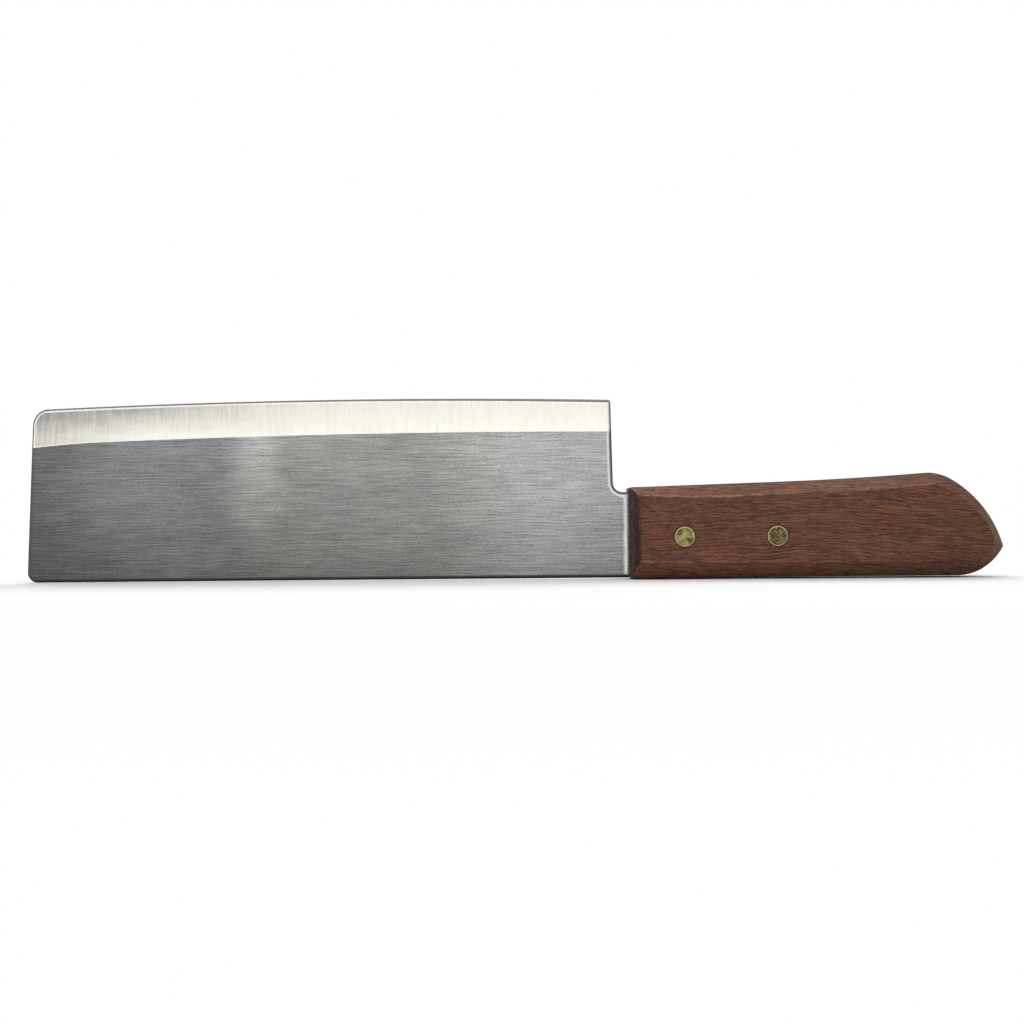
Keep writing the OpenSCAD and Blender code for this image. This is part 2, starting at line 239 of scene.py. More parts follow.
class Shade:
    """Short names for the nodes of one material, which works in millimetres."""

    def __init__(self, name):
        self.material = bpy.data.materials.new(name)
        self.material.use_nodes = True
        self.tree = self.material.node_tree
        self.tree.nodes.clear()
        place = wire(self.tree, "ShaderNodeTexCoord").outputs["Object"]
        self.mm = self.vmath("SCALE", place, scale=1 / MM)
        split = wire(self.tree, "ShaderNodeSeparateXYZ", {0: self.mm})
        self.x, self.y, self.z = split.outputs
        self.level = self.z

    def math(self, what, a, b=0.0, c=0.0, clamp=False):
        made = wire(self.tree, "ShaderNodeMath", {0: a, 1: b, 2: c}, operation=what, use_clamp=clamp)
        return made.outputs[0]

    def vmath(self, what, a, b=(0, 0, 0), scale=1.0):
        made = wire(self.tree, "ShaderNodeVectorMath", {0: a, 1: b, 3: scale}, operation=what)
        return made.outputs[0]

    def vector(self, x, y, z):
        return wire(self.tree, "ShaderNodeCombineXYZ", {0: x, 1: y, 2: z}).outputs[0]

    def noise(self, vector, detail=3.0, rough=0.55, warp=0.0):
        return wire(self.tree, "ShaderNodeTexNoise", {
            "Vector": vector, "Scale": 1.0, "Detail": detail, "Roughness": rough, "Distortion": warp,
        }).outputs[0]

    def stretched(self, sizes, shift=(0, 0, 0), **kind):
        """Noise whose marks are about sizes millimetres long on each axis."""
        moved = self.vmath("ADD", self.mm, shift)
        return self.noise(self.vmath("MULTIPLY", moved, tuple(1 / s for s in sizes)), **kind)

    def span(self, value, low, high, out_low=0.0, out_high=1.0, smoothly=False):
        """Maps low to out_low and high to out_high, and stays level beyond them."""
        return wire(self.tree, "ShaderNodeMapRange", {
            "Value": value, "From Min": low, "From Max": high, "To Min": out_low, "To Max": out_high,
        }, interpolation_type="SMOOTHSTEP" if smoothly else "LINEAR").outputs[0]

    def mix(self, fac, a, b, blend="MIX"):
        made = wire(self.tree, "ShaderNodeMix", data_type="RGBA", blend_type=blend)
        for key, value in ((0, fac), (6, a), (7, b)):
            if isinstance(value, bpy.types.NodeSocket):
                self.tree.links.new(value, made.inputs[key])
            elif key == 0:
                made.inputs[key].default_value = value
            else:
                made.inputs[key].default_value = (*value, 1.0)
        return made.outputs[2]

    def toned(self, colour, tone, tint=(1.0, 1.0)):
        """A colour times a tone, whose green and blue are tinted."""
        green, blue = (tone if part == 1.0 else self.product(tone, part) for part in tint)
        return self.mix(1.0, colour, self.vector(tone, green, blue), "MULTIPLY")

    def total(self, first, *more):
        for term in more:
            first = self.math("ADD", first, term)
        return first

    def product(self, first, *more):
        for term in more:
            first = self.math("MULTIPLY", first, term)
        return first

    def past(self, start):
        """Millimetres beyond a place on the X axis."""
        return self.math("SUBTRACT", self.x, start)

    def sway(self, amount, sizes, shift=(0, 0, 0)):
        """A wavy shift in millimetres."""
        wave = self.math("SUBTRACT", self.stretched(sizes, shift, detail=2.0), 0.5)
        return self.math("MULTIPLY", wave, amount)

    def lines(self, along, across, deep=1.0, **kind):
        """Noise drawn out along the piece, with about so many marks per millimetre each way."""
        return self.noise(self.vector(self.product(self.x, along), self.product(self.y, deep),
                                      self.product(self.level, across)), **kind)

    def upright(self, along, across, detail, rough):
        """Noise drawn out upwards, with about so many marks per millimetre each way."""
        place = self.vector(self.product(self.x, across), self.y, self.product(self.z, along))
        return self.noise(place, detail, rough)

    def ripple(self, period, shift=(0, 0, 0)):
        """Fine wavy lines about period millimetres apart that come and go, from -1 to 1."""
        bent = self.total(self.level, self.sway(1.5, (16, 6, 5), shift),
                          self.sway(0.45, (5, 4, 2), shift))
        wave = self.math("SINE", self.product(bent, math.tau / period))
        return self.product(wave, self.span(self.lines(0.11, 0.9, detail=2.0), 0.36, 0.58))

    # Painted light per vertex: shade and highlights, and rubbed rims on the rivets.
    def painted_light_and_wear(self):
        return wire(self.tree, "ShaderNodeAttribute", attribute_name="painted_light_and_wear").outputs["Fac"]

    def facing_up(self):
        """How far the surface faces up: 1 on a level top, 0 on a wall."""
        normal = wire(self.tree, "ShaderNodeNewGeometry").outputs["Normal"]
        return wire(self.tree, "ShaderNodeSeparateXYZ", {0: normal}).outputs[2]

    def bump(self, height, strength, distance):
        return wire(self.tree, "ShaderNodeBump", {
            "Strength": strength, "Distance": distance, "Height": height,
        }).outputs[0]

    def finish(self, **inputs):
        shader = wire(self.tree, "ShaderNodeBsdfPrincipled", {
            key.replace("_", " "): value for key, value in inputs.items()
        })
        wire(self.tree, "ShaderNodeOutputMaterial", {"Surface": shader.outputs[0]})
        return self.material


def flank_steel():
    """Sheet steel brushed along the blade in fine wavy lines, with painted reflection that makes it paler
    towards the edge and the heel.
    """
    s = Shade("steel_flank")
    own_x = s.past(END_X)
    s.level = s.total(s.z, s.sway(2.0, (26, 9, 11)), s.sway(0.6, (8, 6, 5), (3, 0, 1)))
    brush = s.lines(0.09, 3.3, detail=2.0, rough=0.6)
    hair = s.lines(1.2, 4.2, detail=1.0, rough=0.6)
    lines = s.total(s.span(brush, 0.37, 0.63, -0.85, 0.85), s.span(hair, 0.35, 0.65, -0.65, 0.65),
                    s.product(s.ripple(0.9, (6, 0, 2)), 0.7))

    # Painted reflection: paler along the blade towards the heel, paler upwards towards the edge, darker at
    # the foot.
    tone = s.total(*(s.span(own_x, *step, smoothly=True) for step in FLANK_STEPS))
    # Painted reflection: a pale upright band across the flank.
    from_band = s.math("ABSOLUTE", s.total(own_x, -BAND_X, s.sway(4.0, (9, 9, 14), (5, 0, 2))))
    band = s.product(s.span(from_band, 0, BAND_HALF, BAND_TONE, 0, smoothly=True),
                     s.span(s.z, *BAND_HEIGHTS))
    low = s.total(*(s.span(own_x, *step) for step in FLANK_LOW))
    up = s.span(s.z, *FLANK_HEIGHTS, low, s.span(own_x, *FLANK_HIGH))
    cloud = s.stretched((34, 9, 12), (11, 0, 5), detail=3.0)
    spots = s.stretched((8, 6, 4), (1, 0, 8), detail=3.0)
    tone = s.product(s.total(tone, band), up, s.span(cloud, 0.3, 0.7, 0.90, 1.10),
                     s.span(spots, 0.3, 0.7, 0.93, 1.07), s.span(lines, -1.7, 1.7, 0.66, 1.36))
    # Painted shade along the square end.
    from_end = s.math("SUBTRACT", own_x, s.product(s.z, math.tan(math.radians(END_LEAN))))
    tone = s.product(tone, s.span(from_end, *END_DARK))

    middle = s.product(s.span(own_x, *FLANK_WARM, smoothly=True),
                       s.span(own_x, *FLANK_COOL, smoothly=True), s.span(cloud, 0.3, 0.6, 0.5, 1.0))
    colour = s.toned(s.mix(middle, COOL_STEEL, WARM_STEEL), tone)
    # A polished strip at the handle, whose pale colour is a painted highlight.
    strip = s.span(s.total(s.x, s.sway(1.3, (3, 3, 3.5))), STRIP_FROM, STRIP_TO, smoothly=True)
    colour = s.mix(strip, colour, POLISHED_HIGHLIGHT)
    return s.finish(Base_Color=colour, Metallic=1.0, Roughness=s.span(strip, 0, 1, 0.34, 0.12),
                    Normal=s.bump(lines, 0.2, BRUSHED))


def bevel_steel():
    """Ground bevel with fine upright grinding lines, and painted reflection that makes it greyer near the
    square end.
    """
    s = Shade("steel_bevel")
    own_x = s.past(END_X)
    lines = s.total(s.span(s.upright(0.05, 1.1, 3.0, 0.6), 0.34, 0.66, -0.6, 0.6),
                    s.span(s.upright(0.2, 6.5, 2.0, 0.6), 0.3, 0.7, -0.8, 0.8),
                    s.span(s.upright(0.07, 2.4, 1.0, 0.5), 0.38, 0.45, -0.9, 0))

    # Painted reflection: greyer near the square end, most of all towards the edge, and paler towards the
    # heel.
    above = s.span(own_x, *BEVEL_ABOVE, smoothly=True)
    below = s.span(own_x, *BEVEL_BELOW, smoothly=True)
    cloud = s.sway(0.5, (9, 9, 3), (4, 0, 6))
    up = s.math("ADD", s.span(s.z, *BEVEL_HEIGHTS), cloud, clamp=True)
    tone = s.total(s.product(above, up), s.product(below, s.math("SUBTRACT", 1.0, up)))
    contrast = s.span(tone, 0.35, 0.9, 0.23, 0.032)
    tone = s.product(tone, s.math("ADD", 1.0, s.product(lines, contrast)))
    colour = s.toned(s.mix(s.span(tone, 0.38, 0.6), GROUND_DARK, GROUND_PALE), tone)
    return s.finish(Base_Color=colour, Metallic=1.0, Roughness=s.span(lines, -1.6, 1.6, 0.24, 0.32),
                    Normal=s.bump(lines, 0.12, GROUND))


def edge_steel(name, colour, rough, outer=None):
    """Steel of a narrow facet or an eased edge, with small marks, and painted shade that darkens it
    towards the outline.
    """
    s = Shade(name)
    marks = s.stretched((1.6, 1.0, 1.6), detail=4.0)
    if outer:
        colour = s.mix(s.span(s.painted_light_and_wear(), 0.30, 0.75, smoothly=True), outer, colour)
    colour = s.toned(colour, s.span(marks, 0.3, 0.7, 0.88, 1.08))
    roughness = s.span(marks, 0.3, 0.7, rough - 0.05, rough + 0.07)
    return s.finish(Base_Color=colour, Metallic=1.0, Roughness=roughness,
                    Normal=s.bump(marks, 0.1, MARKED))


def wood(name, dark=1.0, tint=(1.0, 0.94), end_grain=False):
    """Reddish-brown open-grained hardwood with short dark pores along the handle."""
    s = Shade(name)
    own_x = s.past(HANDLE_X)
    fall = s.span(own_x, *GRAIN_FALL, smoothly=True)
    s.level = s.total(s.z, fall, s.sway(3.4, (24, 12, 9)), s.sway(0.8, (6, 5, 3), (2, 0, 7)))
    streak = s.lines(0.06, 0.6, 0.4, detail=3.0, rough=0.55)
    fine = s.lines(1.2, 6.0, 5.0, detail=1.0, rough=0.6)
    fleck = s.lines(0.36, 4.2, 3.0, detail=1.0, rough=0.5)
    if end_grain:
        fibre = s.stretched((1.2, 1.0, 1.6), detail=3.0)
        pores = s.span(s.stretched((0.6, 0.5, 0.9), detail=1.0), 0.55, 0.63)
        ripple = 0.0
    else:
        fibre = s.lines(0.24, 3.1, 1.6, detail=3.0, rough=0.6)
        pores = s.span(s.lines(0.30, 3.3, 2.4, detail=1.0, rough=0.5), 0.55, 0.63)
        ripple = s.ripple(0.88, (1, 0, 3))

    # Painted light: faces that look up are lighter and get a painted sheen, less so at the butt.
    up = s.product(s.span(s.facing_up(), 0.15, 0.6), s.span(own_x, *BUTT_PLAIN))
    # Painted shade: darker towards the underside, over a taller band towards the butt; a little lighter
    # low on the face and darker towards the butt.
    low = s.span(s.z, 0.3, s.span(own_x, *FOOT_SHADE_H), 0.6, 1.0)
    shade = s.product(s.span(up, 0, 1, dark, dark * 1.28), low, s.span(s.z, 4, 15, 1.07, 1.0),
                      s.span(own_x, *BUTT_SHADE))
    # Painted shade on the front facet: darker towards its back and lower down.
    if end_grain:
        shade = s.product(shade, s.span(own_x, *FRONT_SHADE, 1.0, s.span(s.z, 8, 24, 0.52, 0.78)))

    tone = s.total(s.span(fibre, 0.35, 0.65, 0, 0.60), s.span(streak, 0.35, 0.65, 0, 0.36),
                   s.product(ripple, 0.40))
    colour = s.mix(tone, WOOD_DARK, WOOD_PALE)
    colour = s.mix(s.product(pores, 0.6), colour, PORE)
    colour = s.mix(s.span(fleck, 0.58, 0.66, 0, 0.4), colour, FLECK)
    colour = s.mix(s.span(fine, 0.38, 0.62, 0, 0.34), colour, FINE_LINE)
    colour = s.toned(colour, shade, tint)
    if end_grain:
        colour = s.mix(s.span(own_x, *FRONT_GREY), colour, END_GREY)
    # Painted sheen on faces that look up.
    colour = s.mix(s.product(up, 0.08), colour, PAINTED_SHEEN)

    painted_light_and_wear = s.painted_light_and_wear()
    # Painted shade where the sides turn into the top and the underside.
    colour = s.toned(colour, s.span(painted_light_and_wear, -1, 0, 0.36, 1))
    # Painted highlight along the inner arrises, broken into patches.
    patchy = s.span(s.stretched((1.8, 2, 1.0), detail=4.0), 0.40, 0.60, 0.1, 1.0)
    colour = s.mix(s.product(s.math("MAXIMUM", painted_light_and_wear, 0.0), patchy, 0.75), colour, ARRIS_HIGHLIGHT)
    height = s.total(s.product(fibre, 0.5), s.product(pores, -0.7), s.product(fine, 0.2),
                     s.product(ripple, 0.25))
    return s.finish(Base_Color=colour, Roughness=s.span(pores, 0, 1, 0.5, 0.7),
                    Specular_IOR_Level=0.25, Normal=s.bump(height, 0.5, GRAINED))


def brass():
    """Brass rivets gone olive in patches, with rubbed scratches, brighter at the rim from rubbing and from
    a painted highlight.
    """
    s = Shade("brass")
    blot = s.stretched((3.0, 4, 2.6), (3.7, 0, 7.4), detail=2.5, rough=0.5, warp=0.4)
    rear_more = s.span(s.past(HANDLE_X), RIVET_XS[0], RIVET_XS[1], 0, 0.12)
    mottle = s.total(blot, rear_more, s.sway(0.12, (0.7, 1, 0.6), (2, 0, 5)))
    slanted = s.vector(s.product(s.total(s.x, s.z), 0.5), s.y,
                       s.product(s.math("SUBTRACT", s.z, s.x), 2.6))
    scratch = s.noise(slanted, 3.0, 0.6)
    rim = s.painted_light_and_wear()
    patch = s.product(s.span(mottle, 0.36, 0.60, smoothly=True), s.math("SUBTRACT", 1.0, rim, clamp=True),
                      s.span(scratch, 0.45, 0.65, 1.0, 0.45))
    colour = s.mix(patch, BRASS, OLIVE)
    colour = s.mix(s.span(scratch, 0.52, 0.66, 0, 0.4), colour, BRASS_SCRATCH)
    # Brighter at the rim: rubbed brass and a painted highlight.
    colour = s.mix(s.product(rim, 0.5), colour, BRASS_RIM)
    return s.finish(Base_Color=colour, Metallic=1.0, Roughness=s.span(patch, 0, 1, 0.34, 0.6),
                    Normal=s.bump(scratch, 0.2, SCRATCHED))


# Blade. ROUND is the plain edge all round, EASE the heel and the notch, LINE a painted highlight along an
# arris.
FLANK, BEVEL, HONE, LINE, EASE, ROUND = range(6)
ROUND_W, SPINE_ROUND_W, ROUND_LEFT = 0.42, 1.05, 0.42
EASE_W, EASE_NARROW, EASE_CHANGE, EASE_CUT = 1.5, 0.95, (44.2, 45.4), 0.53
LINE_W, FOOT_W, FOOT_DROP, FOOT_LEN = 0.5, 0.28, 0.95, 24.0
CORNER_STEP, TANG_STEP, STRAIGHT_STEP, MESH_STEP = 0.35, 0.8, 6.0, 2.0
NOTCH_STEP, POINT_STEP, EASED_STEP, HOLE_STEP = 0.25, 0.1, 1.0, 0.5
HONE_ABOVE, HONE_BELOW, HALVINGS = 45.0, 58.0, 40
ROUND_ROWS, EASE_ROWS = (0.08, 0.3, 0.6, 1.0), (0.25, 0.5, 0.75, 1.0)
SQUARE_END_POINTS = 12
SHARP_BORDERS = ({FLANK, LINE}, {BEVEL, LINE}, {FLANK, BEVEL}, {HONE, LINE}, {BEVEL, HONE})


def depth_in(points, line, wide):
    """How deep each point lies in a band along a polyline: 0 on the line, 1 at the band's width."""
    best = np.full(len(points), np.inf)
    for a, b, wide_a, wide_b in zip(line[:-1], line[1:], wide[:-1], wide[1:]):
        way = b - a
        t = np.clip(((points - a) @ way) / max(way @ way, 1e-12), 0, 1)
        gap = np.linalg.norm(points - a - t[:, None] * way, axis=1)
        best = np.minimum(best, gap / between(wide_a, wide_b, t))
    return best


def inset(line, amount):
    """An open polyline moved to its left by an amount for each point."""
    line = np.array(line)
    way = np.gradient(line, axis=0)
    way /= np.linalg.norm(way, axis=1)[:, None]
    return line + amount[:, None] * np.stack([-way[:, 1], way[:, 0]], 1)


def densely(line, step):
    """A polyline with no stretch longer than step."""
    out = [line[0]]
    for a, b in zip(line[:-1], line[1:]):
        count = max(1, math.ceil(np.linalg.norm(b - a) / step))
        out += [a + (b - a) * i / count for i in range(1, count + 1)]
    return out


class BladeForm:
    """The blade's side view, and how thick it is at each place."""

    def __init__(self):
        end_up = vec(math.sin(math.radians(END_LEAN)), math.cos(math.radians(END_LEAN)))
        heel_up = vec(-math.sin(math.radians(HEEL_LEAN)), math.cos(math.radians(HEEL_LEAN)))
        self.edge_c = vec(HEEL_X - EDGE_PEAK, BLADE_H - EDGE_R)
        self.bevel_c = vec(HEEL_X - BEVEL_PEAK, BLADE_H - BEVEL_W - BEVEL_R)
        end_top_c = tucked(vec(END_X, 0), end_up, vec(end_up[1], -end_up[0]), END_TOP_R,
                           self.edge_c, EDGE_R)
        point_c = tucked(vec(HEEL_X, NECK_H), heel_up, vec(-heel_up[1], heel_up[0]), HEEL_POINT_R,
                         self.edge_c, EDGE_R)
        end_low_c = vec(END_X + END_LOW_R * (1 + end_up[0]) / end_up[1], END_LOW_R)
        notch_c = vec(HEEL_X + NOTCH_R * (1 + heel_up[0]) / heel_up[1], NECK_H + NOTCH_R)
        tang_x = HANDLE_X + TANG_LEN - TANG_R
        neck_top = vec(HANDLE_X, NECK_H)
        edge_from, edge_to = bearing(self.edge_c, point_c), bearing(self.edge_c, end_top_c)

        end_run = arc(end_top_c, END_TOP_R, edge_to, 180 - END_LEAN, CORNER_STEP)
        low_run = arc(end_low_c, END_LOW_R, 180 - END_LEAN, 270, CORNER_STEP)
        tang_run = arc(vec(tang_x, TANG_R), TANG_R, 270, 360, TANG_STEP)
        tang_run += arc(vec(tang_x, NECK_H - TANG_R), TANG_R, 0, 90, TANG_STEP)
        self.rounded = densely(end_run + low_run + tang_run + [neck_top], STRAIGHT_STEP)
        eased = [neck_top] + arc(notch_c, NOTCH_R, 270, 180 + HEEL_LEAN, NOTCH_STEP)
        eased += arc(point_c, HEEL_POINT_R, HEEL_LEAN, edge_from, POINT_STEP)
        self.eased = densely(eased, EASED_STEP)
        edge = arc(self.edge_c, EDGE_R, edge_from, edge_to, MESH_STEP)
        self.outline = self.rounded[:-1] + self.eased[:-1] + edge[:-1]

        heights = [p[1] for p in self.rounded]
        self.round_w = np.interp(heights, [0.0, END_LOW_R], [SPINE_ROUND_W, ROUND_W])
        heights = [p[1] for p in self.eased]
        self.ease_w = np.interp(heights, EASE_CHANGE, [EASE_W, EASE_NARROW])
        self.end_count = len(end_run) + SQUARE_END_POINTS

        self.xs = np.arange(END_X - MESH_STEP, HEEL_X + MESH_STEP, MESH_STEP)
        self.hone = self.hone_line()
        shoulder_h = self.bevel_c[1] + np.sqrt(BEVEL_R ** 2 - (self.xs - self.bevel_c[0]) ** 2)
        self.shoulder = np.stack([self.xs, shoulder_h - self.foot_drop(self.xs)], 1)

    def foot_drop(self, x):
        """How far the foot of the bevel drops near the square end."""
        return FOOT_DROP * np.clip(1 - (x - END_X) / FOOT_LEN, 0, 1) ** 2

    def bevel_at(self, points):
        drop = self.foot_drop(points[:, 0])
        out = np.linalg.norm(points - self.bevel_c, axis=1) - BEVEL_R + drop
        return np.minimum(HALF_T, HALF_T - (HALF_T - BEVEL_LEFT) * out / (BEVEL_W + drop))

    def hone_at(self, points):
        out = np.linalg.norm(points - self.edge_c, axis=1) - (EDGE_R - HONE_W)
        return BEVEL_LEFT - (BEVEL_LEFT - HONE_LEFT) * out / HONE_W

    def half_at(self, points):
        """Half the thickness at each point, and how deep it lies in the rounded or eased border."""
        half = np.minimum(self.bevel_at(points), self.hone_at(points))
        t = np.clip(depth_in(points, self.rounded, self.round_w), 0, 1)
        half *= ROUND_LEFT + (1 - ROUND_LEFT) * np.sqrt(1 - (1 - t) ** 2)
        eased_t = np.clip(depth_in(points, self.eased, self.ease_w), 0, 1)
        return half * (1 - EASE_CUT * (1 - eased_t) ** 2), np.minimum(t, eased_t)

    def hone_line(self):
        """Where the finishing bevel meets the ground one, found by halving."""
        lows, highs = np.full(len(self.xs), HONE_ABOVE), np.full(len(self.xs), HONE_BELOW)
        for _ in range(HALVINGS):
            mids = (lows + highs) / 2
            places = np.stack([self.xs, mids], 1)
            past = self.hone_at(places) < self.bevel_at(places)
            highs, lows = np.where(past, mids, highs), np.where(past, lows, mids)
        return np.stack([self.xs, (lows + highs) / 2], 1)

    def lines(self):
        """Polylines that the mesh follows, where the form or the material changes."""
        end, end_w = self.rounded[:self.end_count], self.round_w[:self.end_count]
        lines = [self.hone, self.shoulder, self.hone - [0, LINE_W], self.shoulder + [0, FOOT_W]]
        lines += [inset(self.rounded, self.round_w * part) for part in ROUND_ROWS]
        lines += [inset(end, end_w * 2)]
        lines += [inset(self.eased, self.ease_w * part) for part in EASE_ROWS]
        return lines

    def mesh(self):
        """Flat triangles of the side view."""
        hole_r = SLEEVE_R + STEEL_CLEAR
        holes = [arc(vec(HANDLE_X + x, RIVET_H), hole_r, 0, 360, HOLE_STEP)[:-1] for x in RIVET_XS]
        places, edges, shapes = [], [], []
        for loop in [self.outline] + holes:
            shapes.append(list(range(len(places), len(places) + len(loop))))
            places += [Vector(p) for p in loop]
        for line in self.lines():
            start = len(places)
            places += [Vector(p) for p in line]
            edges += [(i, i + 1) for i in range(start, len(places) - 1)]
        verts, faces, _ = triangles(places, edges, shapes)
        used = sorted({i for f in faces for i in f})
        renumber = {old: new for new, old in enumerate(used)}
        flat = np.array([tuple(v) for v in verts])
        return flat[used], [[renumber[i] for i in f] for f in faces]

    def kinds(self, centres):
        """The material of the face at each centre."""
        on_bevel = self.bevel_at(centres) < HALF_T
        honed = self.hone_at(centres) < self.bevel_at(centres)
        from_round = depth_in(centres, self.rounded, self.round_w)
        from_ease = depth_in(centres, self.eased, self.ease_w)
        under_hone = np.interp(centres[:, 0], *self.hone.T) - centres[:, 1]
        over_foot = centres[:, 1] - np.interp(centres[:, 0], *self.shoulder.T)
        kinds = np.where(on_bevel, BEVEL, FLANK)
        kinds[on_bevel & ((under_hone < LINE_W) | (over_foot < FOOT_W) | (from_round < 2))] = LINE
        kinds[honed] = HONE
        kinds[from_round < 1] = ROUND
        kinds[(from_ease < 1) & ~honed] = EASE
        return [int(kind) for kind in kinds]


def mark_sharp(mesh):
    """Sharpens the borders between the flank, the bevels and their bright arrises."""
    sharp = mesh.attributes.get("sharp_edge") or mesh.attributes.new("sharp_edge", "BOOLEAN", "EDGE")
    kinds = {}
    for polygon in mesh.polygons:
        for key in polygon.edge_keys:
            kinds.setdefault(key, set()).add(polygon.material_index)
    for e in mesh.edges:
        if kinds.get(e.key) in SHARP_BORDERS:
            sharp.data[e.index].value = True


def blade():
    form = BladeForm()
    flat, faces = form.mesh()
    half, depth = form.half_at(flat)
    kinds = form.kinds(np.array([flat[f].mean(0) for f in faces]))

    piece = Piece()
    # The depth into the edge band drives the painted shade of the edge steels.
    near = piece.add([(x, -h, z) for (x, z), h in zip(flat, half)], depth)
    far = piece.add([(x, h, z) for (x, z), h in zip(flat, half)], depth)
    kind_beside = {}
    for f, kind in zip(faces, kinds):
        piece.face([near[i] for i in f], kind)
        piece.face([far[i] for i in f[::-1]], kind)
        for i, a in enumerate(f):
            kind_beside[(f[i - 1], a)] = kind
    for (a, b), kind in kind_beside.items():
        if (b, a) not in kind_beside:
            piece.face([near[a], far[a], far[b], near[b]], HONE if kind == HONE else ROUND)
    obj = piece.make("blade_steel", ["blade"], [
        flank_steel(),
        bevel_steel(),
        # Edge steels with painted shade, and a painted highlight on steel_line.
        edge_steel("steel_hone", HONED_SHADE, 0.4),
        edge_steel("steel_line", LINE_HIGHLIGHT, 0.2),
        edge_steel("steel_ease", EASED, 0.25, EASED_OUTER_SHADE),
        edge_steel("steel_round", ROUNDED_SHADE, 0.4, ROUNDED_OUTER_SHADE),
    ])
    mark_sharp(obj.data)


# Handle. Places of the chamfers' inner border: X from the handle's front and height, or share of
# the arc and radius, then the arc's first and last bearing from its centre.
TOP_BORDER = ([2.25, 5.0, 10, 18.5, 27, 40, 47.5, 57.3, 74.4, 87.4, 92],
              [25.45, 25.0, 24.8, 24.55, 24.5, 25.0, 25.35, 25.8, 26.4, 27.2, 27.95])
LOW_BORDER = ([3.05, 30, 60, 95, 102, 105.3], [5.1, 4.8, 4.7, 4.7, 5.0, 5.9])
UNDER_BORDER = ([0, 0.4, 1], [11.56, 12.3, 12.05], -58.9, -27.7)
BUTT_BORDER = ([0, 0.17, 0.43, 0.64, 0.81, 1], [31.47, 31.8, 31.2, 31.1, 30.75, 30.57], 19.5, 67.5)

# Sections of the outline, anticlockwise, with the places between them and the step of each
UNDERSIDE, UNDER, BUTT, TOP, FRONT = range(5)
SECTION_ENDS = ((107.5, 2.27), (HANDLE_LEN, POINT_H), (92.0, 31.27), (0.15, FRONT_H - 0.15))
SECTION_STEPS = (0.8, 0.4, 0.5, 0.8, 0.7)
CORNER_R, CHAMFER_D, TOP_CHAMFER_D = 0.5, 3.2, 2.8

# Roundings of the arrises, and how strong the painted highlight along each section's inner arris is
BLEND, WALL_ROUND, BUTT_ROUND, WALL_TURN, WALL_FADE = 0.11, 0.45, 0.9, 0.8, 0.5
ARRIS_HIGHLIGHT_SHARE, ARRIS_HIGHLIGHT_ELSEWHERE = {TOP: 1.0, UNDERSIDE: 0.85, FRONT: 0.3}, 0.22
HIGHLIGHT_FADE_FROM, HIGHLIGHT_FADE_LEN, HIGHLIGHT_FADE = 14, 40, 0.5
WIDE_HIGHLIGHT, THIN_HIGHLIGHT = 0.8, 2.2
HIGHLIGHT_PEAK, BLEND_RINGS, CHAMFER_RINGS, TURN_RINGS = 0.01, 6, (0.4, 0.7), (0, 0.25, 0.5, 0.75, 1)

# Waviness of the border: waves per millimetre, two shifts of the noise and the amount
WOBBLES = ((0.16, 3.1, 0, 0.16), (0.7, 5.7, 4, 0.06))

# Eased rim of the rivets' holes: how much wider than the hole, and how deep
HOLE_RIM = ((0.14, 0.0), (0.03, 0.07), (0.0, 0.2))
HOLE_SIDES = 64
TIGHT_STEP, ARC_STEP, SWEEP_STEP = 0.1, 0.25, 1.0
GRAIN, END_GRAIN = 0, 1


def handle_path():
    """The handle's outline, anticlockwise from its lower front corner, and its two big centres."""
    rise = math.radians(TOP_RISE)
    straight_end = vec(TOP_STRAIGHT, FRONT_H + TOP_STRAIGHT * math.tan(rise))
    sweep_c = straight_end + SWEEP_R * vec(-math.sin(rise), math.cos(rise))
    butt_c = vec(HANDLE_LEN - math.sqrt(BUTT_R ** 2 - (POINT_H - BUTT_MID_H) ** 2), BUTT_MID_H)
    under_c = vec(HANDLE_LEN - math.sqrt(UNDER_R ** 2 - (UNDER_R - POINT_H) ** 2), UNDER_R)
    hump_c = crossing(butt_c, BUTT_R - HUMP_R, sweep_c, SWEEP_R + HUMP_R)
    tip = vec(HANDLE_LEN, POINT_H)
    hump_from, hump_to = bearing(butt_c, hump_c), bearing(hump_c, sweep_c)
    sweep_from = bearing(sweep_c, towards(hump_c, sweep_c, HUMP_R))
    low_c, top_c = vec(CORNER_R, CORNER_R), vec(CORNER_R, FRONT_H - CORNER_R)
    path = arc(low_c, CORNER_R, 225, 270, TIGHT_STEP)
    path += arc(under_c, UNDER_R, -90, bearing(under_c, tip), ARC_STEP)
    path += arc(butt_c, BUTT_R, bearing(butt_c, tip), hump_from, ARC_STEP, 1)
    path += arc(hump_c, HUMP_R, hump_from, hump_to, ARC_STEP, 1)
    path += arc(sweep_c, SWEEP_R, sweep_from, TOP_RISE - 90, SWEEP_STEP, 1)
    path += arc(top_c, CORNER_R, 90 + TOP_RISE, 180, TIGHT_STEP)
    path += arc(low_c, CORNER_R, 180, 225, TIGHT_STEP)
    return np.array(path), under_c, butt_c


def resample(path, lengths, start, end, step):
    """Points about step apart on a stretch of a path, without its last."""
    count = max(2, round((end - start) / step))
    at = start + (end - start) * np.arange(count) / count
    return np.stack([np.interp(at, lengths, path[:, 0]), np.interp(at, lengths, path[:, 1])], 1)


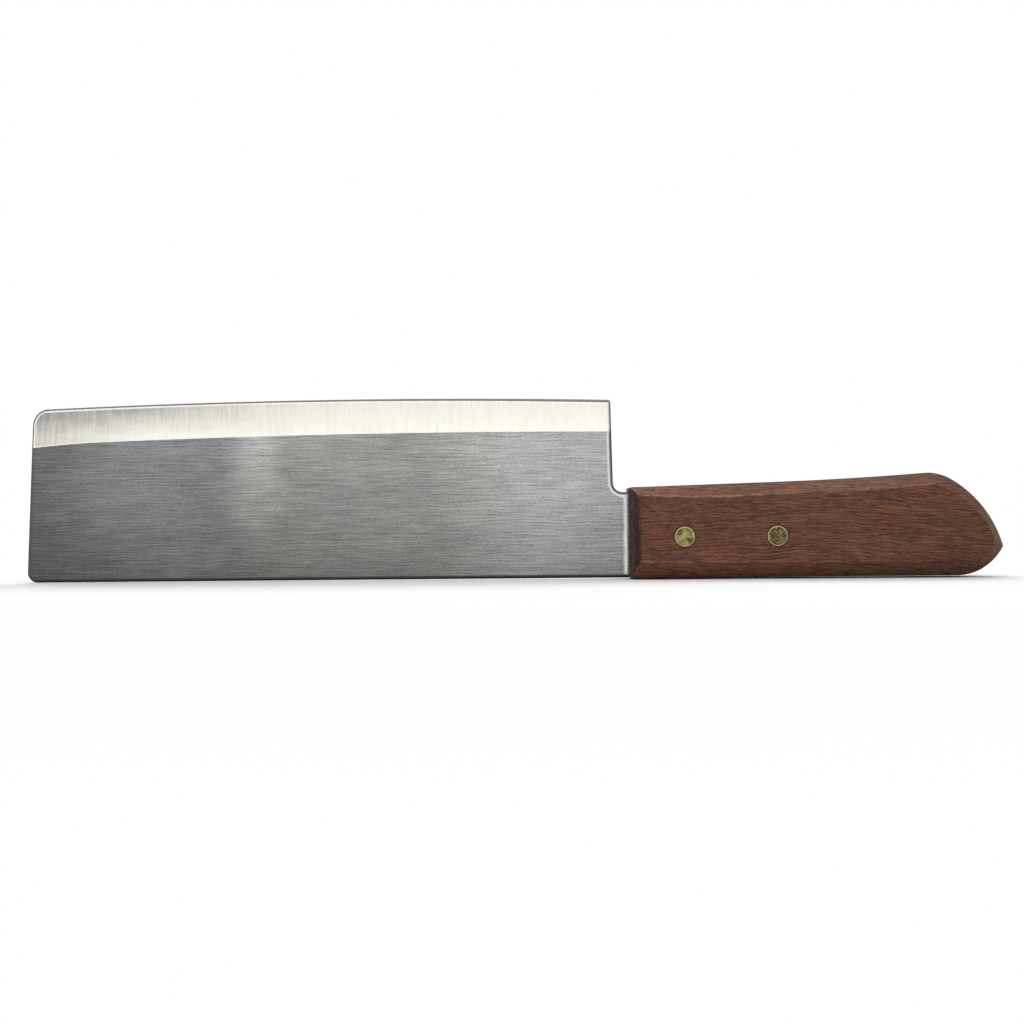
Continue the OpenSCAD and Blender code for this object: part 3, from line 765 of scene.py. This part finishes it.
def chamfer_at(section, t, under_c, butt_c):
    """The chamfer's inner border and its depth, a share t of the way along a section."""
    (top_xs, top_hs), (low_xs, low_hs) = TOP_BORDER, LOW_BORDER
    if section == UNDERSIDE:
        x = between(low_xs[0], low_xs[-1], t)
        return vec(x, np.interp(x, low_xs, low_hs)), CHAMFER_D
    if section in (UNDER, BUTT):
        shares, radii, first, last = UNDER_BORDER if section == UNDER else BUTT_BORDER
        centre = under_c if section == UNDER else butt_c
        return polar(centre, np.interp(t, shares, radii), between(first, last, t)), CHAMFER_D
    if section == TOP:
        x = between(top_xs[-1], top_xs[0], t)
        return vec(x, np.interp(x, top_xs, top_hs)), between(CHAMFER_D, TOP_CHAMFER_D, smooth(t * 1.4))
    x = between(low_xs[0], top_xs[0], (1 - t) ** 3)
    return vec(x, between(top_hs[0], low_hs[0], t)), between(TOP_CHAMFER_D, CHAMFER_D, t)


class HandleForm:
    """Rows round the handle: its outline, the chamfer's inner border and depth, and the section."""

    def __init__(self):
        path, under_c, butt_c = handle_path()
        lengths = reaches(path)
        marks = [lengths[np.argmin(np.linalg.norm(path - place, axis=1))] for place in SECTION_ENDS]
        marks = [0.0] + marks + [lengths[-1]]
        outer, inner, depth, self.section = [], [], [], []
        for section, step in enumerate(SECTION_STEPS):
            row = resample(path, lengths, marks[section], marks[section + 1], step)
            for i, p in enumerate(row):
                border, deep = chamfer_at(section, i / len(row), under_c, butt_c)
                outer.append(p)
                inner.append(border)
                depth.append(deep)
                self.section.append(section)
        self.outer, self.inner, self.depth = np.array(outer), np.array(inner), np.array(depth)
        self.count = len(outer)
        self.end_slot()
        way_in = self.inner - self.outer
        self.wide = np.linalg.norm(way_in, axis=1)
        self.way_in = way_in / self.wide[:, None]

    def end_slot(self):
        """Moves one point of the underside and one of the top to the end of the saw cut."""
        for section, rise in ((UNDERSIDE, 0.0), (TOP, TOP_RISE + 1)):
            rows = [i for i in range(self.count) if self.section[i] == section]
            i = min(rows, key=lambda i: abs(self.outer[i][0] - SLOT_LEN))
            x, z = self.outer[i]
            self.outer[i] = vec(SLOT_LEN, z + (SLOT_LEN - x) * math.tan(math.radians(rise)))
        self.slotted = [p[0] <= SLOT_LEN + 1e-6 for p in self.outer]

    def wobble(self, side):
        """Hand-made waviness of the chamfer's inner border, in millimetres."""
        return np.array([sum(noise.noise(Vector((along * often, side * shift, layer))) * amount
                             for often, shift, layer, amount in WOBBLES)
                         for along in reaches(self.inner)])

    def rings(self, side):
        """Rings of one side from its flat face to the saw cut: places, half thickness and painted light, a
        highlight on the arris and shade on the wall's turn.
        """
        border = self.inner + self.way_in * self.wobble(side)[:, None]
        arris_light = np.array([ARRIS_HIGHLIGHT_SHARE.get(section, ARRIS_HIGHLIGHT_ELSEWHERE) for section in self.section])
        arris_light *= [1.0 - HIGHLIGHT_FADE * smooth((x - HIGHLIGHT_FADE_FROM) / HIGHLIGHT_FADE_LEN) for x, _ in self.outer]
        power = np.array([WIDE_HIGHLIGHT if section == TOP else THIN_HIGHLIGHT for section in self.section])
        turn = np.array([BUTT_ROUND if section in (UNDER, BUTT) else WALL_ROUND
                         for section in self.section])
        none = np.zeros(self.count)

        rings = []
        for v in np.linspace(-BLEND, BLEND, BLEND_RINGS):
            y = WOOD_HALF - self.depth * (v + BLEND) ** 2 / (4 * BLEND)
            # Painted highlight along the inner arris of the chamfer.
            painted_light_and_wear = arris_light * max(0.0, 1 - abs(v - HIGHLIGHT_PEAK) / BLEND) ** power
            rings.append((between(border, self.outer, v), y, painted_light_and_wear))
        for v in CHAMFER_RINGS:
            rings.append((between(border, self.outer, v), WOOD_HALF - self.depth * v, none))
        start = 1 - turn / self.wide
        bend = [(between(border, self.outer, start[:, None]), WOOD_HALF - self.depth * start),
                (self.outer, WOOD_HALF - self.depth),
                (self.outer, WOOD_HALF - self.depth - turn * WALL_TURN)]
        for t in TURN_RINGS:
            shares = ((1 - t) ** 2, 2 * t * (1 - t), t * t)
            place, y = (sum(k * row[part] for k, row in zip(shares, bend)) for part in (0, 1))
            # Painted shade, growing along the turn of the wall.
            rings.append((place, y, none - min(t * 2, 1.0)))
        rings.append((self.outer, bend[-1][1] - WALL_FADE, none))
        rings.append((self.outer, none + SLOT_HALF, none))
        return rings

    def side_rows(self, piece, side):
        """Adds one side's rings and the faces between them."""
        rows = []
        for flat, ys, painted_light_and_wear in self.rings(side):
            rows.append(piece.add([(HANDLE_X + x, side * y, z) for (x, z), y in zip(flat, ys)], painted_light_and_wear))
        mats = [END_GRAIN if section == FRONT else GRAIN for section in self.section]
        for inside, outside in zip(rows[:-1], rows[1:]):
            piece.strip(inside, outside, mats, flip=side > 0)
        return rows


def rivet_holes(piece, side):
    """Counterbored holes of one side: their loops on the flat face and in the saw cut."""
    head_r, sleeve_r = HEAD_R + WOOD_CLEAR, SLEEVE_R + WOOD_CLEAR
    seat = WOOD_HALF - HEAD_SUNK - HEAD_T
    rings = [(head_r + wider, WOOD_HALF - deep) for wider, deep in HOLE_RIM]
    rings += [(head_r, seat), (sleeve_r, seat), (sleeve_r, SLOT_HALF)]
    on_face, in_slot = [], []
    for x in RIVET_XS:
        centre = vec(HANDLE_X + x, RIVET_H)
        loops = []
        for r, y in rings:
            circle = [polar(centre, r, a) for a in np.arange(HOLE_SIDES) * 360 / HOLE_SIDES]
            loops.append(piece.add([(p[0], side * y, p[1]) for p in circle]))
        for a, b in zip(loops[:-1], loops[1:]):
            piece.strip(a, b, END_GRAIN, flip=side < 0)
        on_face.append(loops[0])
        in_slot.append(loops[-1])
    return on_face, in_slot


def handle():
    form = HandleForm()
    piece = Piece()
    sides = {side: form.side_rows(piece, side) for side in (-1, 1)}
    near, far = sides[-1][-1], sides[1][-1]
    for i in range(form.count):
        j = (i + 1) % form.count
        if not (form.slotted[i] and form.slotted[j]):
            piece.face([near[i], far[i], far[j], near[j]])

    slotted = {section: [i for i in range(form.count) if form.slotted[i] and form.section[i] == section]
               for section in (UNDERSIDE, TOP)}
    low, top = max(slotted[UNDERSIDE]), min(slotted[TOP])
    piece.face([near[low], near[top], far[top], far[low]], END_GRAIN)
    run = list(range(top, form.count)) + list(range(0, low + 1))
    for side, rows in sides.items():
        on_face, in_slot = rivet_holes(piece, side)
        piece.fill([rows[0]] + on_face, flip=side > 0)
        piece.fill([[rows[-1][i] for i in run]] + in_slot, END_GRAIN, flip=side < 0)
    piece.make("handle_wood", ["handle"],
               # The end grain is darker by its own colour and by painted shade.
               [wood("wood"), wood("wood_end", 0.40, (1.22, 1.36), True)], 38.0)


# Rivets. Rows of a head's crown: radius, drop below its top and rim brightness, which is rubbed brass and
# a painted highlight.
CROWN = ((0, 0, 0), (0.9, 0.003, 0), (1.7, 0.010, 0), (2.4, 0.020, 0), (2.72, 0.030, 0.1),
         (2.88, 0.045, 0.9), (2.97, 0.075, 1.0), (3.08, 0.13, 0.9), (3.16, 0.22, 0.5), (HEAD_R, 0.34, 0))
LATHE_SIDES = 72


def lathe(name, node, x, profile, material):
    """A turned piece on a rivet's axis. Each row of the profile is a radius, a place in Y and its rim
    brightness, rubbed brass and a painted highlight.
    """
    piece = Piece()
    turns = np.arange(LATHE_SIDES) * math.tau / LATHE_SIDES
    rows = []
    for r, y, painted_light_and_wear in profile:
        if r == 0:
            rows.append(piece.add([(HANDLE_X + x, y, RIVET_H)], painted_light_and_wear) * LATHE_SIDES)
        else:
            rows.append(piece.add([(HANDLE_X + x + r * math.cos(a), y, RIVET_H + r * math.sin(a))
                                   for a in turns], painted_light_and_wear))
    for a, b in zip(rows[:-1], rows[1:]):
        piece.strip(a, b)
    piece.make(name, [node], [material], 40.0)


def rivets():
    head_out = WOOD_HALF - HEAD_SUNK
    head_in = head_out - HEAD_T
    bore = SLEEVE_R - SLEEVE_WALL
    stud_r = bore - PRESS_CLEAR
    stud_end = head_in - STUD_SHORT
    open_end = -(head_in - SLEEVE_SHORT)
    stud = [(r, -(head_out - drop), painted_light_and_wear) for r, drop, painted_light_and_wear in CROWN]
    stud += [(HEAD_R, -head_in, 0), (stud_r, -head_in, 0), (stud_r, stud_end, 0), (0, stud_end, 0)]
    sleeve = [(0, head_in, 0), (bore, head_in, 0), (bore, open_end, 0), (SLEEVE_R, open_end, 0),
              (SLEEVE_R, head_in, 0), (HEAD_R, head_in, 0)]
    sleeve += [(r, head_out - drop, painted_light_and_wear) for r, drop, painted_light_and_wear in CROWN[::-1]]
    metal = brass()
    for label, x in zip(("front", "rear"), RIVET_XS):
        lathe(label + "_stud_brass", label + "_rivet_stud", x, stud, metal)
        lathe(label + "_sleeve_brass", label + "_rivet_sleeve", x, sleeve, metal)


# Stage, in metres. The floor lies just below the knife at the square end and falls by FLOOR_TILT
# degrees towards the handle.
FLOOR_HALF, FLOOR_GAP, FLOOR_TILT = 4.0, 0.0001, 0.10
FLOOR_SEEN, FLOOR_LIT, FADE_FROM, FADE_TO = 0.975, 0.75, 0.17, 0.36
GLOW_LEFT, GLOW_RIGHT = 0.70, 0.78
WHITE = (1, 1, 1, 1)

# Lamps: name, place, size and power
LAMPS = (
    ("key", (0.22, -1.05, 0.62), (0.95, 0.55), 0.5),
    ("top", (0.0, -0.26, 1.0), (1.1, 0.3), 1.0),
    ("back", (0.0, 0.62, 0.85), (1.4, 0.5), 4.2),
)
LAMP_AIM = Vector((0, 0, 0.02))
CAMERA_PLACE, CAMERA_ROLL = (-0.00009, -0.467, 0.0204), -0.5
FOCAL_PX, IMAGE_PX = 1520, 1024


def seen_ray(tree):
    """1 for the rays that show a surface itself: to the camera, in a reflection or through glass."""
    path = wire(tree, "ShaderNodeLightPath").outputs
    seen = path["Is Camera Ray"]
    for other in ("Is Glossy Ray", "Is Transmission Ray"):
        seen = wire(tree, "ShaderNodeMath", {0: seen, 1: path[other]}, operation="MAXIMUM").outputs[0]
    return seen


def room():
    """World light a little stronger from the right, and plain white where it is seen."""
    world = bpy.data.worlds.new("studio")
    bpy.context.scene.world = world
    world.use_nodes = True
    tree = world.node_tree
    tree.nodes.clear()
    way = wire(tree, "ShaderNodeTexCoord").outputs["Generated"]
    side = wire(tree, "ShaderNodeSeparateXYZ", {0: way}).outputs[0]
    glow = wire(tree, "ShaderNodeMapRange", {
        "Value": side, "From Min": -1, "From Max": 1, "To Min": GLOW_LEFT, "To Max": GLOW_RIGHT,
    }).outputs[0]
    lit = wire(tree, "ShaderNodeBackground", {"Color": WHITE, "Strength": glow}).outputs[0]
    white = wire(tree, "ShaderNodeBackground", {"Color": WHITE, "Strength": 1.0}).outputs[0]
    both = wire(tree, "ShaderNodeMixShader", {0: seen_ray(tree), 1: lit, 2: white}).outputs[0]
    wire(tree, "ShaderNodeOutputWorld", {"Surface": both})


def floor_paint():
    """Near-white floor that keeps the shadow close to the knife and fades to plain white beyond."""
    material = bpy.data.materials.new("floor")
    material.use_nodes = True
    tree = material.node_tree
    tree.nodes.clear()
    seen = seen_ray(tree)
    grey = wire(tree, "ShaderNodeMapRange", {
        "Value": seen, "To Min": FLOOR_LIT, "To Max": FLOOR_SEEN,
    }).outputs[0]
    colour = wire(tree, "ShaderNodeCombineColor", {0: grey, 1: grey, 2: grey}).outputs[0]
    matt = wire(tree, "ShaderNodeBsdfDiffuse", {"Color": colour}).outputs[0]
    place = wire(tree, "ShaderNodeTexCoord").outputs["Object"]
    reach = wire(tree, "ShaderNodeVectorMath", {0: place}, operation="LENGTH").outputs[1]
    away = wire(tree, "ShaderNodeMapRange", {
        "Value": reach, "From Min": FADE_FROM, "From Max": FADE_TO,
    }, interpolation_type="SMOOTHSTEP").outputs[0]
    away = wire(tree, "ShaderNodeMath", {0: away, 1: seen}, operation="MULTIPLY").outputs[0]
    white = wire(tree, "ShaderNodeEmission", {"Strength": 1.0}).outputs[0]
    total = wire(tree, "ShaderNodeMixShader", {0: away, 1: matt, 2: white}).outputs[0]
    wire(tree, "ShaderNodeOutputMaterial", {"Surface": total})
    return material


def floor():
    mesh = bpy.data.meshes.new("floor")
    slope = math.tan(math.radians(FLOOR_TILT))
    corners = [(x * FLOOR_HALF, y * FLOOR_HALF) for x, y in ((-1, -1), (1, -1), (1, 1), (-1, 1))]
    verts = [(x, y, -FLOOR_GAP - slope * (x - END_X * MM)) for x, y in corners]
    mesh.from_pydata(verts, [], [(0, 1, 2, 3)])
    mesh.materials.append(floor_paint())
    obj = bpy.data.objects.new("floor", mesh)
    bpy.context.scene.collection.objects.link(obj)


def lamps():
    for name, place, size, energy in LAMPS:
        light = bpy.data.lights.new(name, "AREA")
        light.shape = "RECTANGLE"
        light.size, light.size_y = size
        light.energy = energy
        lamp = bpy.data.objects.new(name, light)
        lamp.location = place
        lamp.rotation_euler = (Vector(place) - LAMP_AIM).to_track_quat("Z", "Y").to_euler()
        bpy.context.scene.collection.objects.link(lamp)


def camera():
    """Looks level along Y, rolled a little as in the photograph."""
    lens = bpy.data.cameras.new("camera")
    lens.lens = FOCAL_PX / IMAGE_PX * lens.sensor_width
    lens.clip_start = 0.01
    eye = bpy.data.objects.new("camera", lens)
    level = Matrix.Rotation(math.radians(90), 4, "X")
    roll = Matrix.Rotation(math.radians(CAMERA_ROLL), 4, "Z")
    eye.matrix_world = Matrix.Translation(CAMERA_PLACE) @ level @ roll
    bpy.context.scene.collection.objects.link(eye)
    bpy.context.scene.camera = eye


bpy.context.scene.view_settings.view_transform = "Standard"
blade()
handle()
rivets()
room()
floor()
lamps()
camera()

bpy.context.view_layer.update()
